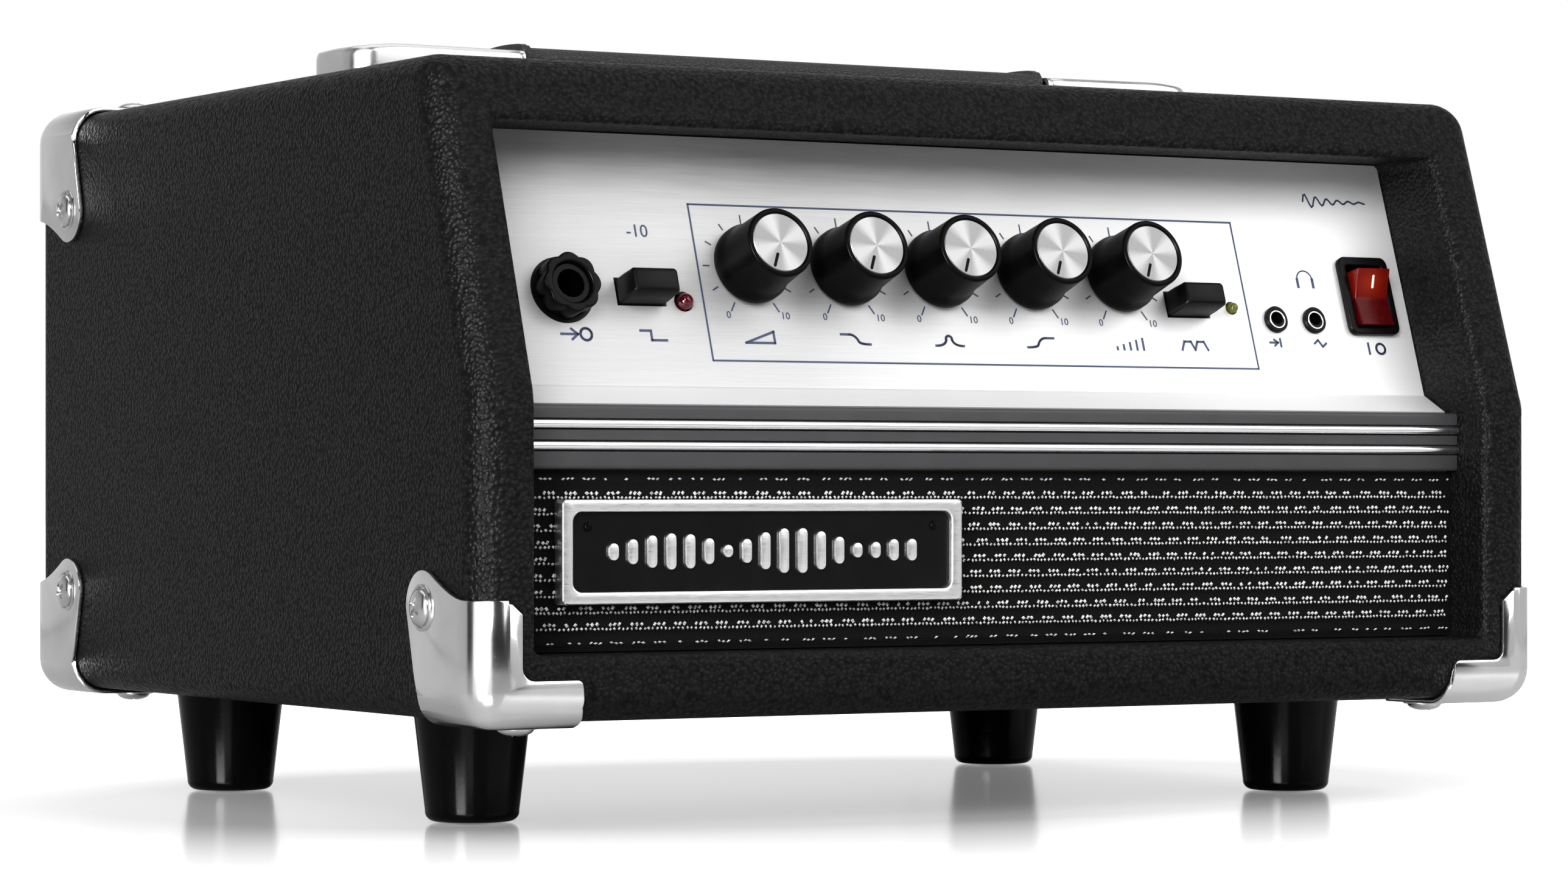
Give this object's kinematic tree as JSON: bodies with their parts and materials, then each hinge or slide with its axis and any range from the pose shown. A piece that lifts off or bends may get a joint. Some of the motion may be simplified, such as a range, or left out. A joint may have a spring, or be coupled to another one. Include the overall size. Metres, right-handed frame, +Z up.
{
  "type": "guitar amplifier head",
  "caption": "Small vinyl-covered amplifier head with a sloping recessed control panel, cloth grille, metal corners, strap handle and tapered feet.",
  "frame": {"origin": "centre of the cabinet's footprint on the surface the feet stand on", "axes": "+X to the right seen from the front, -Y out of the front, +Z up"},
  "size_m": [0.3124, 0.27, 0.1932],
  "materials": {
    "vinyl": "black pebble-grain vinyl cloth glued over plywood, semi-matt",
    "corner_metal": "nickel-plated pressed steel, bright",
    "foot_plastic": "glossy black moulded plastic",
    "strap_rubber": "black moulded strap with a fine grain",
    "handle_metal": "satin nickel-plated steel",
    "grille_cloth": "black woven speaker cloth with rows of silver thread",
    "baffle_wood": "plain fibreboard, unfinished",
    "trim_plastic": "satin dark grey moulding",
    "trim_metal": "polished bright strip",
    "badge_metal": "satin silver",
    "badge_black": "gloss black enamel",
    "panel_metal": "anodised, brushed lengthways",
    "knob_black": "black moulded skirt with a spun aluminium disc on the front",
    "plated_steel": "zinc-plated sheet",
    "key_black": "satin black moulding",
    "switch_plastic": "grey moulding",
    "red_lamp": "clear dark red lens, unlit",
    "green_lamp": "clear yellow-green lens",
    "jack_black": "black moulded socket",
    "rocker_red": "clear red moulding",
    "circuit_board": "green solder resist",
    "rear_black": "black powder coat",
    "fan_black": "black moulded",
    "heatsink_metal": "natural extruded",
    "transformer_steel": "varnished laminations"
  },
  "bodies": {
    "cabinet": {"left_side_board": "vinyl", "right_side_board": "vinyl", "top_board": "vinyl", "bottom_board": "vinyl", "corner_front_left": "corner_metal", "corner_front_right": "corner_metal", "corner_rear_left": "corner_metal", "corner_rear_right": "corner_metal", "corner_top_left": "corner_metal", "corner_top_right": "corner_metal", "foot_front_left": "foot_plastic", "foot_front_right": "foot_plastic", "foot_rear_left": "foot_plastic", "foot_rear_right": "foot_plastic", "handle_strap": "strap_rubber", "handle_cap_left": "handle_metal", "handle_cap_right": "handle_metal", "grille_cloth": "grille_cloth", "grille_baffle": "baffle_wood", "trim_moulding": "trim_plastic", "trim_strip_upper": "trim_metal", "trim_strip_lower": "trim_metal", "badge_frame": "badge_metal", "badge_plate": "badge_black", "control_panel": "panel_metal", "pot_gain": "plated_steel", "pot_low": "plated_steel", "pot_mid": "plated_steel", "pot_high": "plated_steel", "pot_level": "plated_steel", "pad_switch": "switch_plastic", "pad_lamp": "red_lamp", "limiter_switch": "switch_plastic", "limiter_lamp": "green_lamp", "input_jack": "jack_black", "input_jack_nut": "jack_black", "line_in_jack": "jack_black", "phones_jack": "jack_black", "rocker_housing": "jack_black", "preamp_board": "circuit_board", "rear_panel": "rear_black", "speaker_jack_a": "jack_black", "speaker_jack_b": "jack_black", "line_out_jack": "jack_black", "mains_inlet": "jack_black", "fan_frame": "fan_black", "chassis_tray": "plated_steel", "power_amp_board": "circuit_board", "heatsink": "heatsink_metal", "power_transformer": "transformer_steel"},
    "gain_knob": {"knob_gain": "knob_black"},
    "low_knob": {"knob_low": "knob_black"},
    "mid_knob": {"knob_mid": "knob_black"},
    "high_knob": {"knob_high": "knob_black"},
    "level_knob": {"knob_level": "knob_black"},
    "pad_key": {"pad_button": "key_black"},
    "limiter_key": {"limiter_button": "key_black"},
    "rocker": {"power_rocker": "rocker_red"},
    "fan": {"fan_rotor": "fan_black"}
  },
  "joints": [
    {"name": "gain_turn", "type": "hinge", "parent": "cabinet", "child": "gain_knob", "pos_m": [-0.0615, -0.09836, 0.1337], "axis": [0, 0.9483, -0.3173], "range_deg": [0, 300]},
    {"name": "low_turn", "type": "hinge", "parent": "cabinet", "child": "low_knob", "pos_m": [-0.0345, -0.09836, 0.1337], "axis": [0, 0.9483, -0.3173], "range_deg": [0, 300]},
    {"name": "mid_turn", "type": "hinge", "parent": "cabinet", "child": "mid_knob", "pos_m": [-0.0075, -0.09836, 0.1337], "axis": [0, 0.9483, -0.3173], "range_deg": [0, 300]},
    {"name": "high_turn", "type": "hinge", "parent": "cabinet", "child": "high_knob", "pos_m": [0.0195, -0.09836, 0.1337], "axis": [0, 0.9483, -0.3173], "range_deg": [0, 300]},
    {"name": "level_turn", "type": "hinge", "parent": "cabinet", "child": "level_knob", "pos_m": [0.0465, -0.09836, 0.1337], "axis": [0, 0.9483, -0.3173], "range_deg": [0, 300]},
    {"name": "pad_press", "type": "slide", "parent": "cabinet", "child": "pad_key", "axis": [0, 0.9483, -0.3173], "range_m": [0, 0.003]},
    {"name": "limiter_press", "type": "slide", "parent": "cabinet", "child": "limiter_key", "axis": [0, 0.9483, -0.3173], "range_m": [0, 0.003]},
    {"name": "power_switch", "type": "hinge", "parent": "cabinet", "child": "rocker", "pos_m": [0.124, -0.09679, 0.12895], "axis": [1, 0, 0], "range_deg": [-20, 0]},
    {"name": "fan_spin", "type": "hinge", "parent": "cabinet", "child": "fan", "pos_m": [0.066, 0.1122, 0.076], "axis": [0, 1, 0], "continuous": true}
  ]
}
